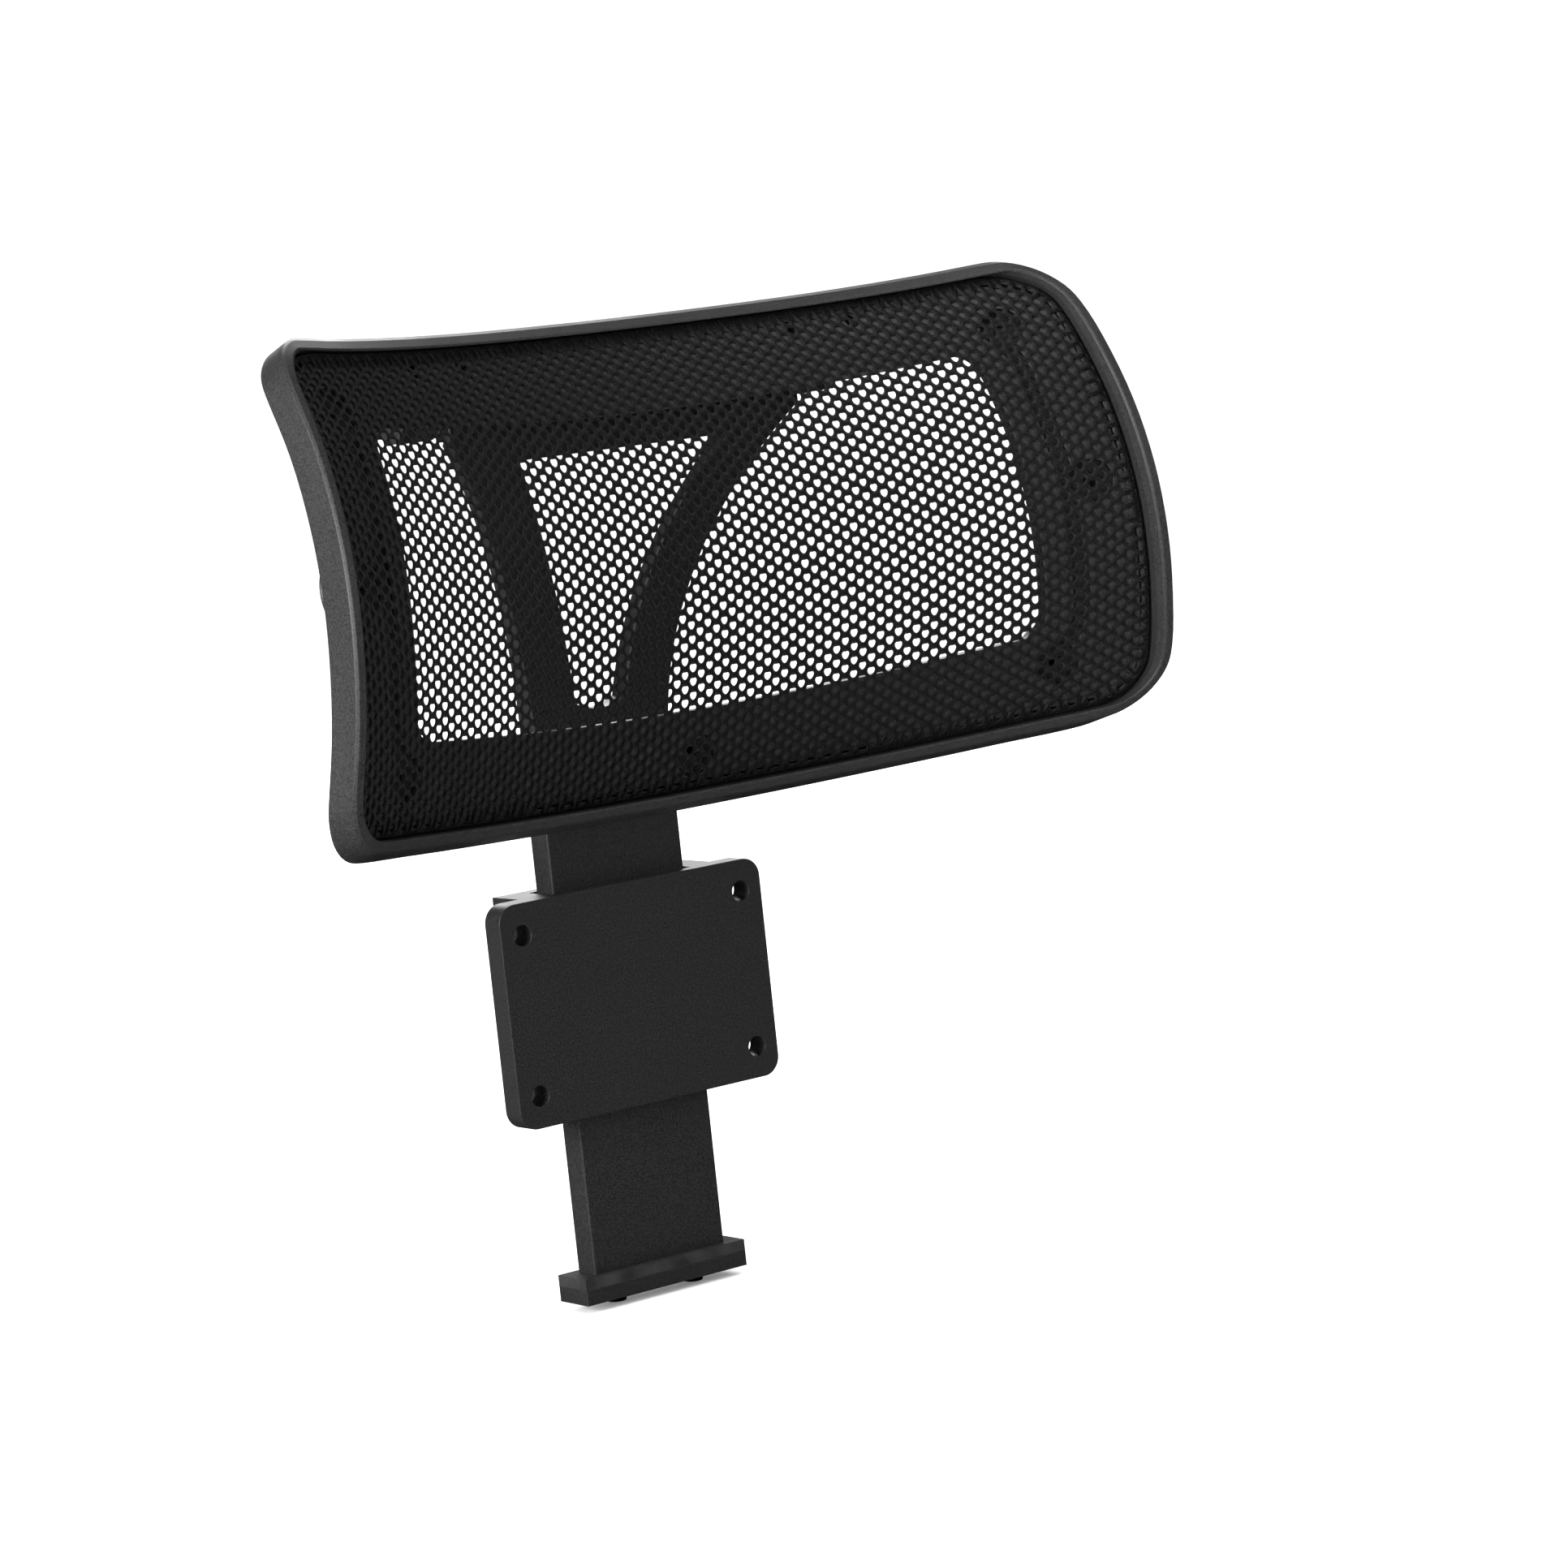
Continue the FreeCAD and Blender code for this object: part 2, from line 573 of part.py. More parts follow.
# ---------------------------------------------------------------- yoke
def yoke():
    """V arms, barrel and stem in one moulding. The side profile is a straight stem that bends
    forwards along an arc; the front outline is two arcs that open from the stem to the barrel."""
    owner = body("yoke")
    front = size("stem_front")
    thick = size("stem_back") - front
    bend = size("bend_height")
    inner = size("lean_radius")
    centre = front - inner
    low = size("stem_low")
    rise = size("lean_rise")
    pin_y = size("hinge_y")
    pin_z = size("hinge_z")

    def lean(up, thickness):
        return Vector(centre + math.sqrt(inner ** 2 - up ** 2) + thickness, bend + up, 0)

    nose = lean(rise, 0)
    back = lean(rise + 1, size("arm_thick"))
    corners = [Vector(front, low, 0), Vector(front, bend, 0), nose,
               Vector(pin_y - size("barrel_radius"), pin_z, 0), Vector(pin_y, pin_z, 0), back,
               Vector(front + thick, bend, 0), Vector(front + thick, low, 0)]

    side = sketch(owner, "yoke_side", "YZ_Plane")
    side.addGeometry(Part.LineSegment(corners[0], corners[1]), False)
    side.addGeometry(Part.Arc(corners[1], lean(rise / 2, 0), corners[2]), False)
    side.addGeometry(Part.LineSegment(corners[2], corners[3]), False)
    side.addGeometry(Part.LineSegment(corners[3], corners[4]), False)
    side.addGeometry(Part.LineSegment(corners[4], corners[5]), False)
    side.addGeometry(Part.Arc(corners[5], lean(rise / 2, size("arm_middle_thick")), corners[6]), False)
    side.addGeometry(Part.LineSegment(corners[6], corners[7]), False)
    side.addGeometry(Part.LineSegment(corners[7], corners[0]), False)
    pad(owner, "yoke_plate", side, "2 * Sizes.barrel_half", midplane=True)

    # The waste beside the stem and the arms, then the triangular hole between the arms.
    away = 120
    radius = size("arm_radius")
    stem = size("stem_half")
    rises = size("arm_start")
    reach = rises + math.sqrt(radius ** 2 - (radius - size("barrel_half") + stem) ** 2)
    shapes = sketch(owner, "yoke_front", "XZ_Plane")
    for sign in (-1, 1):
        waist = Vector(sign * stem, low - 5, 0)
        hip = Vector(sign * stem, rises, 0)
        middle_up = (reach - rises) / 2
        bow = radius - math.sqrt(radius ** 2 - middle_up ** 2)
        elbow = Vector(sign * (stem + bow), rises + middle_up, 0)
        hand = Vector(sign * size("barrel_half"), reach, 0)
        beside = Vector(sign * away, reach, 0)
        below = Vector(sign * away, low - 5, 0)
        shapes.addGeometry(Part.LineSegment(waist, hip), False)
        shapes.addGeometry(Part.Arc(hip, elbow, hand), False)
        shapes.addGeometry(Part.LineSegment(hand, beside), False)
        shapes.addGeometry(Part.LineSegment(beside, below), False)
        shapes.addGeometry(Part.LineSegment(below, waist), False)
    pocket(owner, "yoke_waste", shapes, "400", midplane=True)

    wide = radius + size("arm_width")
    high = size("face_height") + size("hole_top")
    foot = size("hole_low")

    def edge_at(height):
        return stem + radius - math.sqrt(wide ** 2 - (height - rises) ** 2)

    hole = sketch(owner, "yoke_hole", "XZ_Plane")
    half_way = (high + foot) / 2
    ends = {sign: (Vector(sign * edge_at(foot), foot, 0), Vector(sign * edge_at(high), high, 0))
            for sign in (-1, 1)}
    for sign in (-1, 1):
        hole.addGeometry(Part.Arc(ends[sign][0], Vector(sign * edge_at(half_way), half_way, 0),
                                  ends[sign][1]), False)
    hole.addGeometry(Part.LineSegment(ends[-1][1], ends[1][1]), False)
    hole.addGeometry(Part.Arc(ends[-1][0], Vector(0, foot - size("hole_sag"), 0), ends[1][0]), False)
    pocket(owner, "yoke_opening", hole, "400", midplane=True)

    barrel = sketch(owner, "yoke_barrel", "YZ_Plane")
    circle(barrel, pin_y, pin_z, "barrel_radius")
    pad(owner, "yoke_tube", barrel, "2 * Sizes.barrel_half", midplane=True)
    doc.recompute()

    bore = sketch(owner, "yoke_bore_sketch", "YZ_Plane")
    circle(bore, pin_y, pin_z, "bush_outer")
    pocket(owner, "yoke_bore", bore, "3 * Sizes.barrel_half", midplane=True)
    notches = sketch(owner, "yoke_notch_sketch", "YZ_Plane")
    for step in range(int(size("notch_count"))):
        circle(notches, size("stem_back") + size("notch_radius") - size("notch_depth"),
               -step * size("notch_pitch"), "notch_radius")
    pocket(owner, "yoke_notches", notches, "2 * Sizes.notch_half", midplane=True)
    pilots = sketch(owner, "yoke_pilot_sketch", "XY_Plane", "Sizes.stem_low")
    for sign in (-1, 1):
        circle(pilots, sign * size("stop_screw_across"), (front + size("stem_back")) / 2, "screw_pilot")
    pocket(owner, "yoke_pilots", pilots, "12", reverse=True)


def stop_parts():
    """Stop plate on the stem's end, and the rubber plate round the stem on top of it."""
    middle = (size("stem_front") + size("stem_back")) / 2
    plate = body("stem_stop")
    shape = sketch(plate, "stop_plate_sketch", "XY_Plane", "Sizes.stem_low - Sizes.stop_thick")
    rectangle(shape, "-stop_half", "stop_half", "stop_front", "stop_rear")
    for sign in (-1, 1):
        circle(shape, sign * size("stop_screw_across"), middle, "screw_hole")
    pad(plate, "stop_plate", shape, "Sizes.stop_thick")
    rubber = body("stop_bumper")
    shape = sketch(rubber, "bumper_sketch", "XY_Plane", "Sizes.stem_low")
    rectangle(shape, "-stop_half", "stop_half", "stop_front", "stop_rear")
    pad(rubber, "bumper_plate", shape, "Sizes.bumper_thick")
    hole = primitive("Part::Box", "bumper_hole", {
        "Length": "2 * Sizes.stem_half + 0.2", "Width": "Sizes.stem_back - Sizes.stem_front + 0.2",
        "Height": "3 * Sizes.bumper_thick"},
        Placement(Vector(-size("stem_half") - 0.1, size("stem_front") - 0.1,
                         size("stem_low") - size("bumper_thick")), Rotation()))
    rubber.Label = "bumper_blank"
    boolean("Cut", "stop_bumper_ring", rubber, [hole]).Label = "stop_bumper"


# ---------------------------------------------------------------- sleeve
def sleeve_front():
    """Ears with the mounting holes, and the channel that the stem and its liners fill."""
    owner = body("sleeve_front")
    ears = sketch(owner, "ears_sketch", "XZ_Plane")
    rectangle(ears, "-ear_half", "ear_half", "-sleeve_half_high", "sleeve_half_high")
    for across in (-0.5, 0.5):
        for up in (-0.5, 0.5):
            circle(ears, across * size("mount_across"), up * size("mount_up"), "mount_hole")
    pad(owner, "ears", ears, "Sizes.ear_thick", reverse=True)
    doc.recompute()
    tip = owner.Tip
    names = [f"Edge{i + 1}" for i, edge in enumerate(tip.Shape.Edges)
             if edge.BoundBox.YLength > 7 and abs(edge.CenterOfMass.x) > size("ear_half") - 1]
    rounding = owner.newObject("PartDesign::Fillet", "ear_rounding")
    rounding.Base = (tip, names)
    rounding.setExpression("Radius", "Sizes.ear_corner")
    block = sketch(owner, "block_sketch", "XZ_Plane")
    rectangle(block, "-block_half", "block_half", "-sleeve_half_high", "sleeve_half_high")
    pad(owner, "block", block, "Sizes.block_back", reverse=True)
    channel = sketch(owner, "channel_sketch", "XZ_Plane", "-Sizes.channel_front")
    rectangle(channel, "-channel_half", "channel_half", "-sleeve_half_high", "sleeve_half_high")
    pocket(owner, "channel", channel, "40")
    holes = sketch(owner, "cover_hole_sketch", "XZ_Plane", "-Sizes.block_back")
    for across in (-1, 1):
        for up in (-1, 1):
            circle(holes, across * size("cover_screw_across"), up * size("cover_screw_up"), "screw_pilot")
    pocket(owner, "cover_holes", holes, "11", reverse=True)


def sleeve_rear():
    """Cover over the channel, with a pocket for the detent spring and seats for the screws."""
    owner = body("sleeve_rear")
    plate = sketch(owner, "cover_sketch", "XZ_Plane", "-Sizes.block_back")
    rectangle(plate, "-block_half", "block_half", "-sleeve_half_high", "sleeve_half_high")
    for across in (-1, 1):
        for up in (-1, 1):
            circle(plate, across * size("cover_screw_across"), up * size("cover_screw_up"), "screw_hole")
    pad(owner, "cover", plate, "Sizes.cover_back - Sizes.block_back", reverse=True)
    doc.recompute()
    tip = owner.Tip
    rear = size("cover_back")
    names = [f"Edge{i + 1}" for i, edge in enumerate(tip.Shape.Edges)
             if edge.Length > 30 and edge.BoundBox.YMin > rear - 0.1]
    bevel = owner.newObject("PartDesign::Chamfer", "cover_bevel")
    bevel.Base = (tip, names)
    bevel.Size = 1.5
    nest = sketch(owner, "nest_sketch", "XZ_Plane", "-Sizes.spring_pocket")
    width = size("spring_half") + 0.6
    tall = size("spring_length") + 1
    corners = [Vector(-width, -tall, 0), Vector(width, -tall, 0), Vector(width, tall, 0),
               Vector(-width, tall, 0)]
    for one, two in zip(corners, corners[1:] + corners[:1]):
        nest.addGeometry(Part.LineSegment(one, two), False)
    pocket(owner, "nest", nest, "10", reverse=True)
    seats = sketch(owner, "seat_sketch", "XZ_Plane", "-(Sizes.cover_back - Sizes.head_deep)")
    for across in (-1, 1):
        for up in (-1, 1):
            circle(seats, across * size("cover_screw_across"), up * size("cover_screw_up"), "head_seat")
    pocket(owner, "seats", seats, "10")
    drills = sketch(owner, "drill_sketch", "XZ_Plane", "-Sizes.block_back")
    for up in (-1, 1):
        circle(drills, 0, up * size("spring_foot"), "screw_hole")
    pocket(owner, "drills", drills, "20")


def glide_liners():
    """A C-shaped liner along each edge of the stem."""
    gap = size("liner_gap")
    clear = size("liner_clear")
    inner_x = size("stem_half") + gap
    outer_x = size("channel_half") - clear
    near = size("stem_half") - size("liner_reach")
    front = size("channel_front") + clear
    rear = size("block_back") - clear
    for side, word in ((-1, "left"), (1, "right")):
        owner = body(f"glide_liner_{word}")
        shape = sketch(owner, f"liner_sketch_{word}", "XY_Plane", "-Sizes.sleeve_half_high + 1")
        corners = [(near, front), (outer_x, front), (outer_x, rear), (near, rear),
                   (near, size("stem_back") + gap), (inner_x, size("stem_back") + gap),
                   (inner_x, size("stem_front") - gap), (near, size("stem_front") - gap)]
        points = [Vector(side * across, deep, 0) for across, deep in corners]
        for one, two in zip(points, points[1:] + points[:1]):
            shape.addGeometry(Part.LineSegment(one, two), False)
        pad(owner, f"liner_{word}", shape, "2 * Sizes.sleeve_half_high - 2")


def detent_spring():
    """Leaf fixed at both ends, bowed forwards to a round bump that sits in a notch."""
    owner = body("detent_spring")
    thick = size("spring_thick")
    base = size("spring_pocket") - 0.05
    tip = size("stem_back") - size("notch_depth") + 0.55
    tall = size("spring_length")
    flat = size("spring_foot") - 3
    neck = 3.2
    low = size("stem_back") + 1.2
    front = [(base - thick, tall), (base - thick, flat), (low, neck), (tip, 0.9), (tip, -0.9),
             (low, -neck), (base - thick, -flat), (base - thick, -tall)]
    rear = [(base, -tall), (base, -flat + 0.3), (low + thick, -neck - 0.2), (tip + thick, -0.6),
            (tip + thick, 0.6), (low + thick, neck + 0.2), (base, flat - 0.3), (base, tall)]
    points = [Vector(deep, up, 0) for deep, up in front + rear]
    shape = sketch(owner, "spring_sketch", "YZ_Plane")
    for one, two in zip(points, points[1:] + points[:1]):
        shape.addGeometry(Part.LineSegment(one, two), False)
    pad(owner, "leaf", shape, "2 * Sizes.spring_half", midplane=True)
    eyes = sketch(owner, "spring_eye_sketch", "XZ_Plane")
    for up in (-1, 1):
        circle(eyes, 0, up * size("spring_foot"), "screw_hole")
    pocket(owner, "eyes", eyes, "100", midplane=True)


# ---------------------------------------------------------------- build, check, write
NODES = [
    "frame_ring", "mesh_carrier", "mesh_panel", "mesh_retaining_strip", "carrier_screws",
    "hinge_bracket_left", "hinge_bracket_right", "hinge_bracket_screws",
    "hinge_pin", "hinge_bush_left", "hinge_bush_right", "friction_washer_left",
    "friction_washer_right", "hinge_clips", "hinge_cap_left", "hinge_cap_right",
    "yoke", "stem_stop", "stop_bumper", "stem_stop_screws",
    "sleeve_front", "sleeve_rear", "sleeve_screws", "glide_liner_left", "glide_liner_right",
    "detent_spring", "detent_spring_screws",
]
frame_ring()
mesh_carrier()
mesh_panel()
mesh_retaining_strip()
hinge_bracket(-1, "hinge_bracket_left")
hinge_bracket(1, "hinge_bracket_right")
screws()
hinge_parts()
yoke()
stop_parts()
sleeve_front()
sleeve_rear()
glide_liners()
detent_spring()
doc.recompute()

failed = [item.Name for item in doc.Objects if {"Invalid", "Error"} & set(item.State)]
if failed:
    raise SystemExit(f"these features failed: {failed}")
os.makedirs("parts", exist_ok=True)
for name in NODES:
    part = doc.getObjectsByLabel(name)[0]
    shape = part.Shape
    if shape.isNull() or not shape.isValid() or shape.Volume <= 0:
        raise SystemExit(f"{name} has no valid solid")
    shape.exportStep(f"parts/{name}.step")
    print(f"{name}: {len(shape.Solids)} solids, {shape.Volume / 1000:.2f} cm3")
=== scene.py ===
# Chair headrest attachment: saddle-shaped mesh headrest on a V-shaped yoke, whose stem slides in a
# sleeve that bolts to a chair's back. Metres, +Z up, -Y towards the sitter.
import math

import bpy
import numpy as np
from mathutils import Matrix, Vector


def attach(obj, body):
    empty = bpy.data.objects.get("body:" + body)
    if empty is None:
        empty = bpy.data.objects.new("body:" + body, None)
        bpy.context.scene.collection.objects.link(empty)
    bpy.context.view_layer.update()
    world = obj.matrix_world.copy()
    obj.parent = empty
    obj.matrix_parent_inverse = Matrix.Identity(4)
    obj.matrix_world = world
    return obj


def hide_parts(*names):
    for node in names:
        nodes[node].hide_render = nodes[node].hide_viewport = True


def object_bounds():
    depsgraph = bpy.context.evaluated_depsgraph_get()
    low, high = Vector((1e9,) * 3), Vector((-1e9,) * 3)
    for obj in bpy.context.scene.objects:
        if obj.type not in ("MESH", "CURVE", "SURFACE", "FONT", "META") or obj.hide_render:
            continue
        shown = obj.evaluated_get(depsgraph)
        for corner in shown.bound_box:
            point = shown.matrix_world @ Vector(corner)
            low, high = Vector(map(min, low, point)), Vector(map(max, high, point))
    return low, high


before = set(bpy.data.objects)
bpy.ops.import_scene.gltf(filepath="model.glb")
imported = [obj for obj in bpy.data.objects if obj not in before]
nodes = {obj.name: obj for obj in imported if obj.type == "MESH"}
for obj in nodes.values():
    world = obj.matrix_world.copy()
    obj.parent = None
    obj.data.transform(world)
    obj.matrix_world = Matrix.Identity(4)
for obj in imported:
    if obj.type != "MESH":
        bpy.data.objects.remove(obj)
cad_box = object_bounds()

# ------------------------------------------------------------------ room: floor and backdrop
# A pale paper sweep: flat under the part, then curving up behind it into a tall wall.
SWEEP_HALF_WIDTH = 4.0
SWEEP_FRONT = -3.0
SWEEP_BEND_AT = 2.0
SWEEP_BEND_RADIUS = 1.2
SWEEP_TOP = 4.0


def paper_sweep(floor_height):
    """Grid whose rows follow a floor line, a quarter circle and a wall line, carried along X."""
    angle = np.linspace(0, math.pi / 2, 24)
    depth = np.concatenate([[SWEEP_FRONT], SWEEP_BEND_AT + SWEEP_BEND_RADIUS * np.sin(angle),
                            [SWEEP_BEND_AT + SWEEP_BEND_RADIUS]])
    height = np.concatenate([[0], SWEEP_BEND_RADIUS * (1 - np.cos(angle)), [SWEEP_TOP]]) + floor_height
    across = np.array([-SWEEP_HALF_WIDTH, SWEEP_HALF_WIDTH])
    x = np.repeat(across, len(depth))
    points = np.column_stack([x, np.tile(depth, 2), np.tile(height, 2)])
    first = np.arange(len(depth) - 1)
    quads = np.column_stack([first, first + len(depth), first + len(depth) + 1, first + 1])
    mesh = bpy.data.meshes.new("paper_sweep")
    mesh.from_pydata(points.tolist(), [], quads.tolist())
    mesh.shade_smooth()
    return bpy.data.objects.new("paper_sweep", mesh)


def paper_material():
    """Pale paper with a faint uneven tone."""
    made = bpy.data.materials.new("studio_paper")
    made.use_nodes = True
    tree = made.node_tree
    surface = tree.nodes["Principled BSDF"]
    surface.inputs["Roughness"].default_value = 0.9
    surface.inputs["Specular IOR Level"].default_value = 0.1
    surface.inputs["Emission Color"].default_value = (1, 1, 1, 1)
    surface.inputs["Emission Strength"].default_value = 0.14
    place = tree.nodes.new("ShaderNodeTexCoord")
    mottle = tree.nodes.new("ShaderNodeTexNoise")
    mottle.inputs["Scale"].default_value = 1.3
    tint = tree.nodes.new("ShaderNodeValToRGB")
    tint.color_ramp.elements[0].color = (0.90, 0.90, 0.90, 1)
    tint.color_ramp.elements[1].color = (0.94, 0.94, 0.94, 1)
    tree.links.new(place.outputs["Object"], mottle.inputs["Vector"])
    tree.links.new(mottle.outputs["Fac"], tint.inputs["Fac"])
    tree.links.new(tint.outputs["Color"], surface.inputs["Base Color"])
    return made


sweep = paper_sweep(cad_box[0][2] - 0.0005)
bpy.context.scene.collection.objects.link(sweep)
sweep.data.materials.append(paper_material())
sweep.visible_glossy = False

# ------------------------------------------------------------------ camera
# A long lens a metre and a half away, to the front left and a little above, turned about its own axis.
CAMERA_TARGET = Vector((0.02444, -0.052, 0.06321))
CAMERA_DISTANCE = 1.4389
CAMERA_AZIMUTH = math.radians(-36.94)
CAMERA_ELEVATION = math.radians(6.33)
CAMERA_ROLL = math.radians(-6.01)
SENSOR = 36.0
LENS = 108.45

back = Vector((math.sin(CAMERA_AZIMUTH) * math.cos(CAMERA_ELEVATION),
               -math.cos(CAMERA_AZIMUTH) * math.cos(CAMERA_ELEVATION), math.sin(CAMERA_ELEVATION)))
level = (-back).cross(Vector((0, 0, 1))).normalized()
upright = level.cross(-back)
right = math.cos(CAMERA_ROLL) * level + math.sin(CAMERA_ROLL) * upright
above = math.cos(CAMERA_ROLL) * upright - math.sin(CAMERA_ROLL) * level
lens = bpy.data.cameras.new("camera")
lens.sensor_width = SENSOR
lens.lens = LENS
lens.clip_end = 50
camera = bpy.data.objects.new("camera", lens)
turn = Matrix((right, above, back)).transposed().to_4x4()
camera.matrix_world = Matrix.Translation(CAMERA_TARGET + CAMERA_DISTANCE * back) @ turn
bpy.context.scene.collection.objects.link(camera)
bpy.context.scene.camera = camera

# ------------------------------------------------------------------ light
# Even white surroundings that shine on everything but aren't mirrored, a large lamp on the left that
# brings out the plastic's grain, and weaker ones above, in front and behind.


def soft_lamp(name, place, aim, size, watts):
    """A square area lamp at place, facing aim."""
    data = bpy.data.lights.new(name, "AREA")
    data.size = size
    data.energy = watts
    lamp = bpy.data.objects.new(name, data)
    facing = (Vector(aim) - Vector(place)).to_track_quat("-Z", "Y")
    lamp.matrix_world = Matrix.Translation(place) @ facing.to_matrix().to_4x4()
    lamp.visible_camera = False
    bpy.context.scene.collection.objects.link(lamp)


HEADREST_MIDDLE = (0, -0.05, 0.12)
soft_lamp("left_lamp", (-1.7, -0.25, 0.5), HEADREST_MIDDLE, 0.9, 54)
soft_lamp("top_lamp", (0.1, -0.5, 1.9), HEADREST_MIDDLE, 0.9, 12)
soft_lamp("front_lamp", (1.2, -1.8, 0.7), HEADREST_MIDDLE, 0.8, 3)
soft_lamp("back_lamp", (1.0, 1.6, 1.1), HEADREST_MIDDLE, 1.0, 26)
room = bpy.data.worlds.new("white_room")
room.use_nodes = True
room.node_tree.nodes["Background"].inputs["Color"].default_value = (1, 1, 1, 1)
room.node_tree.nodes["Background"].inputs["Strength"].default_value = 1.0
room.cycles_visibility.glossy = False
bpy.context.scene.world = room
bpy.context.scene.view_settings.view_transform = "Standard"

# ------------------------------------------------------------------ mesh cloth
# Open-weave polyester stretched over the carrier and tucked into the groove round it. Its holes
# stand in staggered columns, each hole a shield with a flat top, here in millimetres.
WING_RADIUS = 0.295
WING_CLIMB = 0.155
TOP_RADIUS = 0.116
BASE_RADIUS = 0.143
SADDLE_LOW = -0.010
FACE_DEPTH = -0.0549
FACE_HEIGHT = 0.135
COLUMN_PITCH = 0.003077
ROW_PITCH = 0.00432
SHIELD = [(1.22, 0.25), (1.10, 0.82), (0.72, 1.10), (0.0, 1.03), (-0.72, 1.10), (-1.10, 0.82),
          (-1.22, 0.25), (-0.95, -0.55), (-0.45, -1.12), (0.0, -1.30), (0.45, -1.12), (0.95, -0.55)]
CLOTH_MIDDLE = 0.00365
CLOTH_THICKNESS = 0.00062
CLOTH_INSET = 0.0045
HOLE_MARGIN = 0.0016
EDGE_TUCK = 0.0005
SIDE_HALF = 0.150
SIDE_TAPER = 0.0049
SIDE_BOW = 0.0011
SIDE_REACH = 0.08
TOP_HEIGHT = 0.074
TOP_RISE = 0.0038
TOP_CURL = 0.0037
BASE_HEIGHT = -0.074
BASE_RISE = 0.0085
EDGE_REACH = 0.15
TOP_CORNER = 0.0245
TOP_CORNER_DROP = 0.0177
BASE_CORNER = 0.0186
SMALLEST_CORNER = 0.0035
CORNER_PULL = 0.5523
OUTLINE_STEPS = 7
CELL_POINTS = 12


def saddle(across, up, behind):
    """Points of the headrest's surface, shifted back by behind: a vertical profile of two tangent
    arcs, carried along an arc that brings both wings forward and a little up."""
    wing = WING_RADIUS - np.sqrt(WING_RADIUS ** 2 - across ** 2)
    reach = up - WING_CLIMB * wing - SADDLE_LOW
    radius = np.where(reach > 0, TOP_RADIUS, BASE_RADIUS)
    lean = radius - np.sqrt(radius ** 2 - reach ** 2)
    return np.stack([across, FACE_DEPTH - wing + lean + behind, FACE_HEIGHT + up], axis=-1)


def corner(start, bend, end, steps):
    """A cubic curve from start to end that leaves and meets both sides in line: its inner points lie
    CORNER_PULL of the way towards the bend, as on a circle."""
    along = np.linspace(0, 1, steps, endpoint=False)[:, None]
    start, bend, end = (np.array(point) for point in (start, bend, end))
    first = start + CORNER_PULL * (bend - start)
    second = end + CORNER_PULL * (bend - end)
    rest = 1 - along
    return (rest ** 3 * start + 3 * rest ** 2 * along * first + 3 * rest * along ** 2 * second
            + along ** 3 * end)


def face_outline(inset, fine=1):
    """The headrest's outline in its own across and up, moved inwards: bowed sides joined by cubic
    corners, clockwise from the middle of the top edge."""
    def half(up):
        share = up / SIDE_REACH
        return SIDE_HALF - SIDE_TAPER * share - SIDE_BOW * share ** 2 - inset

    def top(across):
        share = across / EDGE_REACH
        return TOP_HEIGHT + TOP_RISE * share ** 2 + TOP_CURL * share ** 4 - inset

    def base(across):
        return BASE_HEIGHT + BASE_RISE * (across / EDGE_REACH) ** 2 + inset

    top_round, drop, base_round = (max(size - inset, SMALLEST_CORNER)
                                   for size in (TOP_CORNER, TOP_CORNER_DROP, BASE_CORNER))
    high = top(half(0))
    low = base(half(0))
    wide = half(high)
    deep = half(low)
    steps = OUTLINE_STEPS * fine
    share = np.linspace(0, 1, 2 * steps, endpoint=False)
    crest = share * (wide - top_round)
    side = (high - drop) + share * (low + base_round - high + drop)
    foot = (1 - share) * (deep - base_round)
    right_half = np.concatenate([
        np.column_stack([crest, top(crest)]),
        corner((wide - top_round, top(wide - top_round)), (wide, high),
               (half(high - drop), high - drop), steps),
        np.column_stack([half(side), side]),
        corner((half(low + base_round), low + base_round), (deep, low),
               (deep - base_round, base(deep - base_round)), steps),
        np.column_stack([foot, base(foot)]),
        [[0, base(0)]],
    ])
    left_half = right_half[-2:0:-1] * [-1, 1]
    return np.concatenate([right_half, left_half])


def inside(points, loop):
    """Even-odd test of points against a closed loop, all at once."""
    x, y = points[:, 0, None], points[:, 1, None]
    start, end = loop, np.roll(loop, -1, axis=0)
    spans = (start[:, 1] > y) != (end[:, 1] > y)
    run = (end[:, 0] - start[:, 0]) * (y - start[:, 1])
    rise = np.where(end[:, 1] == start[:, 1], 1, end[:, 1] - start[:, 1])
    return np.count_nonzero(spans & (x < run / rise + start[:, 0]), axis=1) % 2 == 1


def pulled_on(flat):
    """Across and up of points of the flat cloth once it lies on the saddle: each length along an arc
    becomes the sine of its angle times the radius, and the wings climb."""
    across = WING_RADIUS * np.sin(flat[..., 0] / WING_RADIUS)
    wing = WING_RADIUS * (1 - np.cos(flat[..., 0] / WING_RADIUS))
    reach = flat[..., 1] - SADDLE_LOW
    radius = np.where(reach > 0, TOP_RADIUS, BASE_RADIUS)
    up = SADDLE_LOW + WING_CLIMB * wing + radius * np.sin(reach / radius)
    return np.stack([across, up], axis=-1)


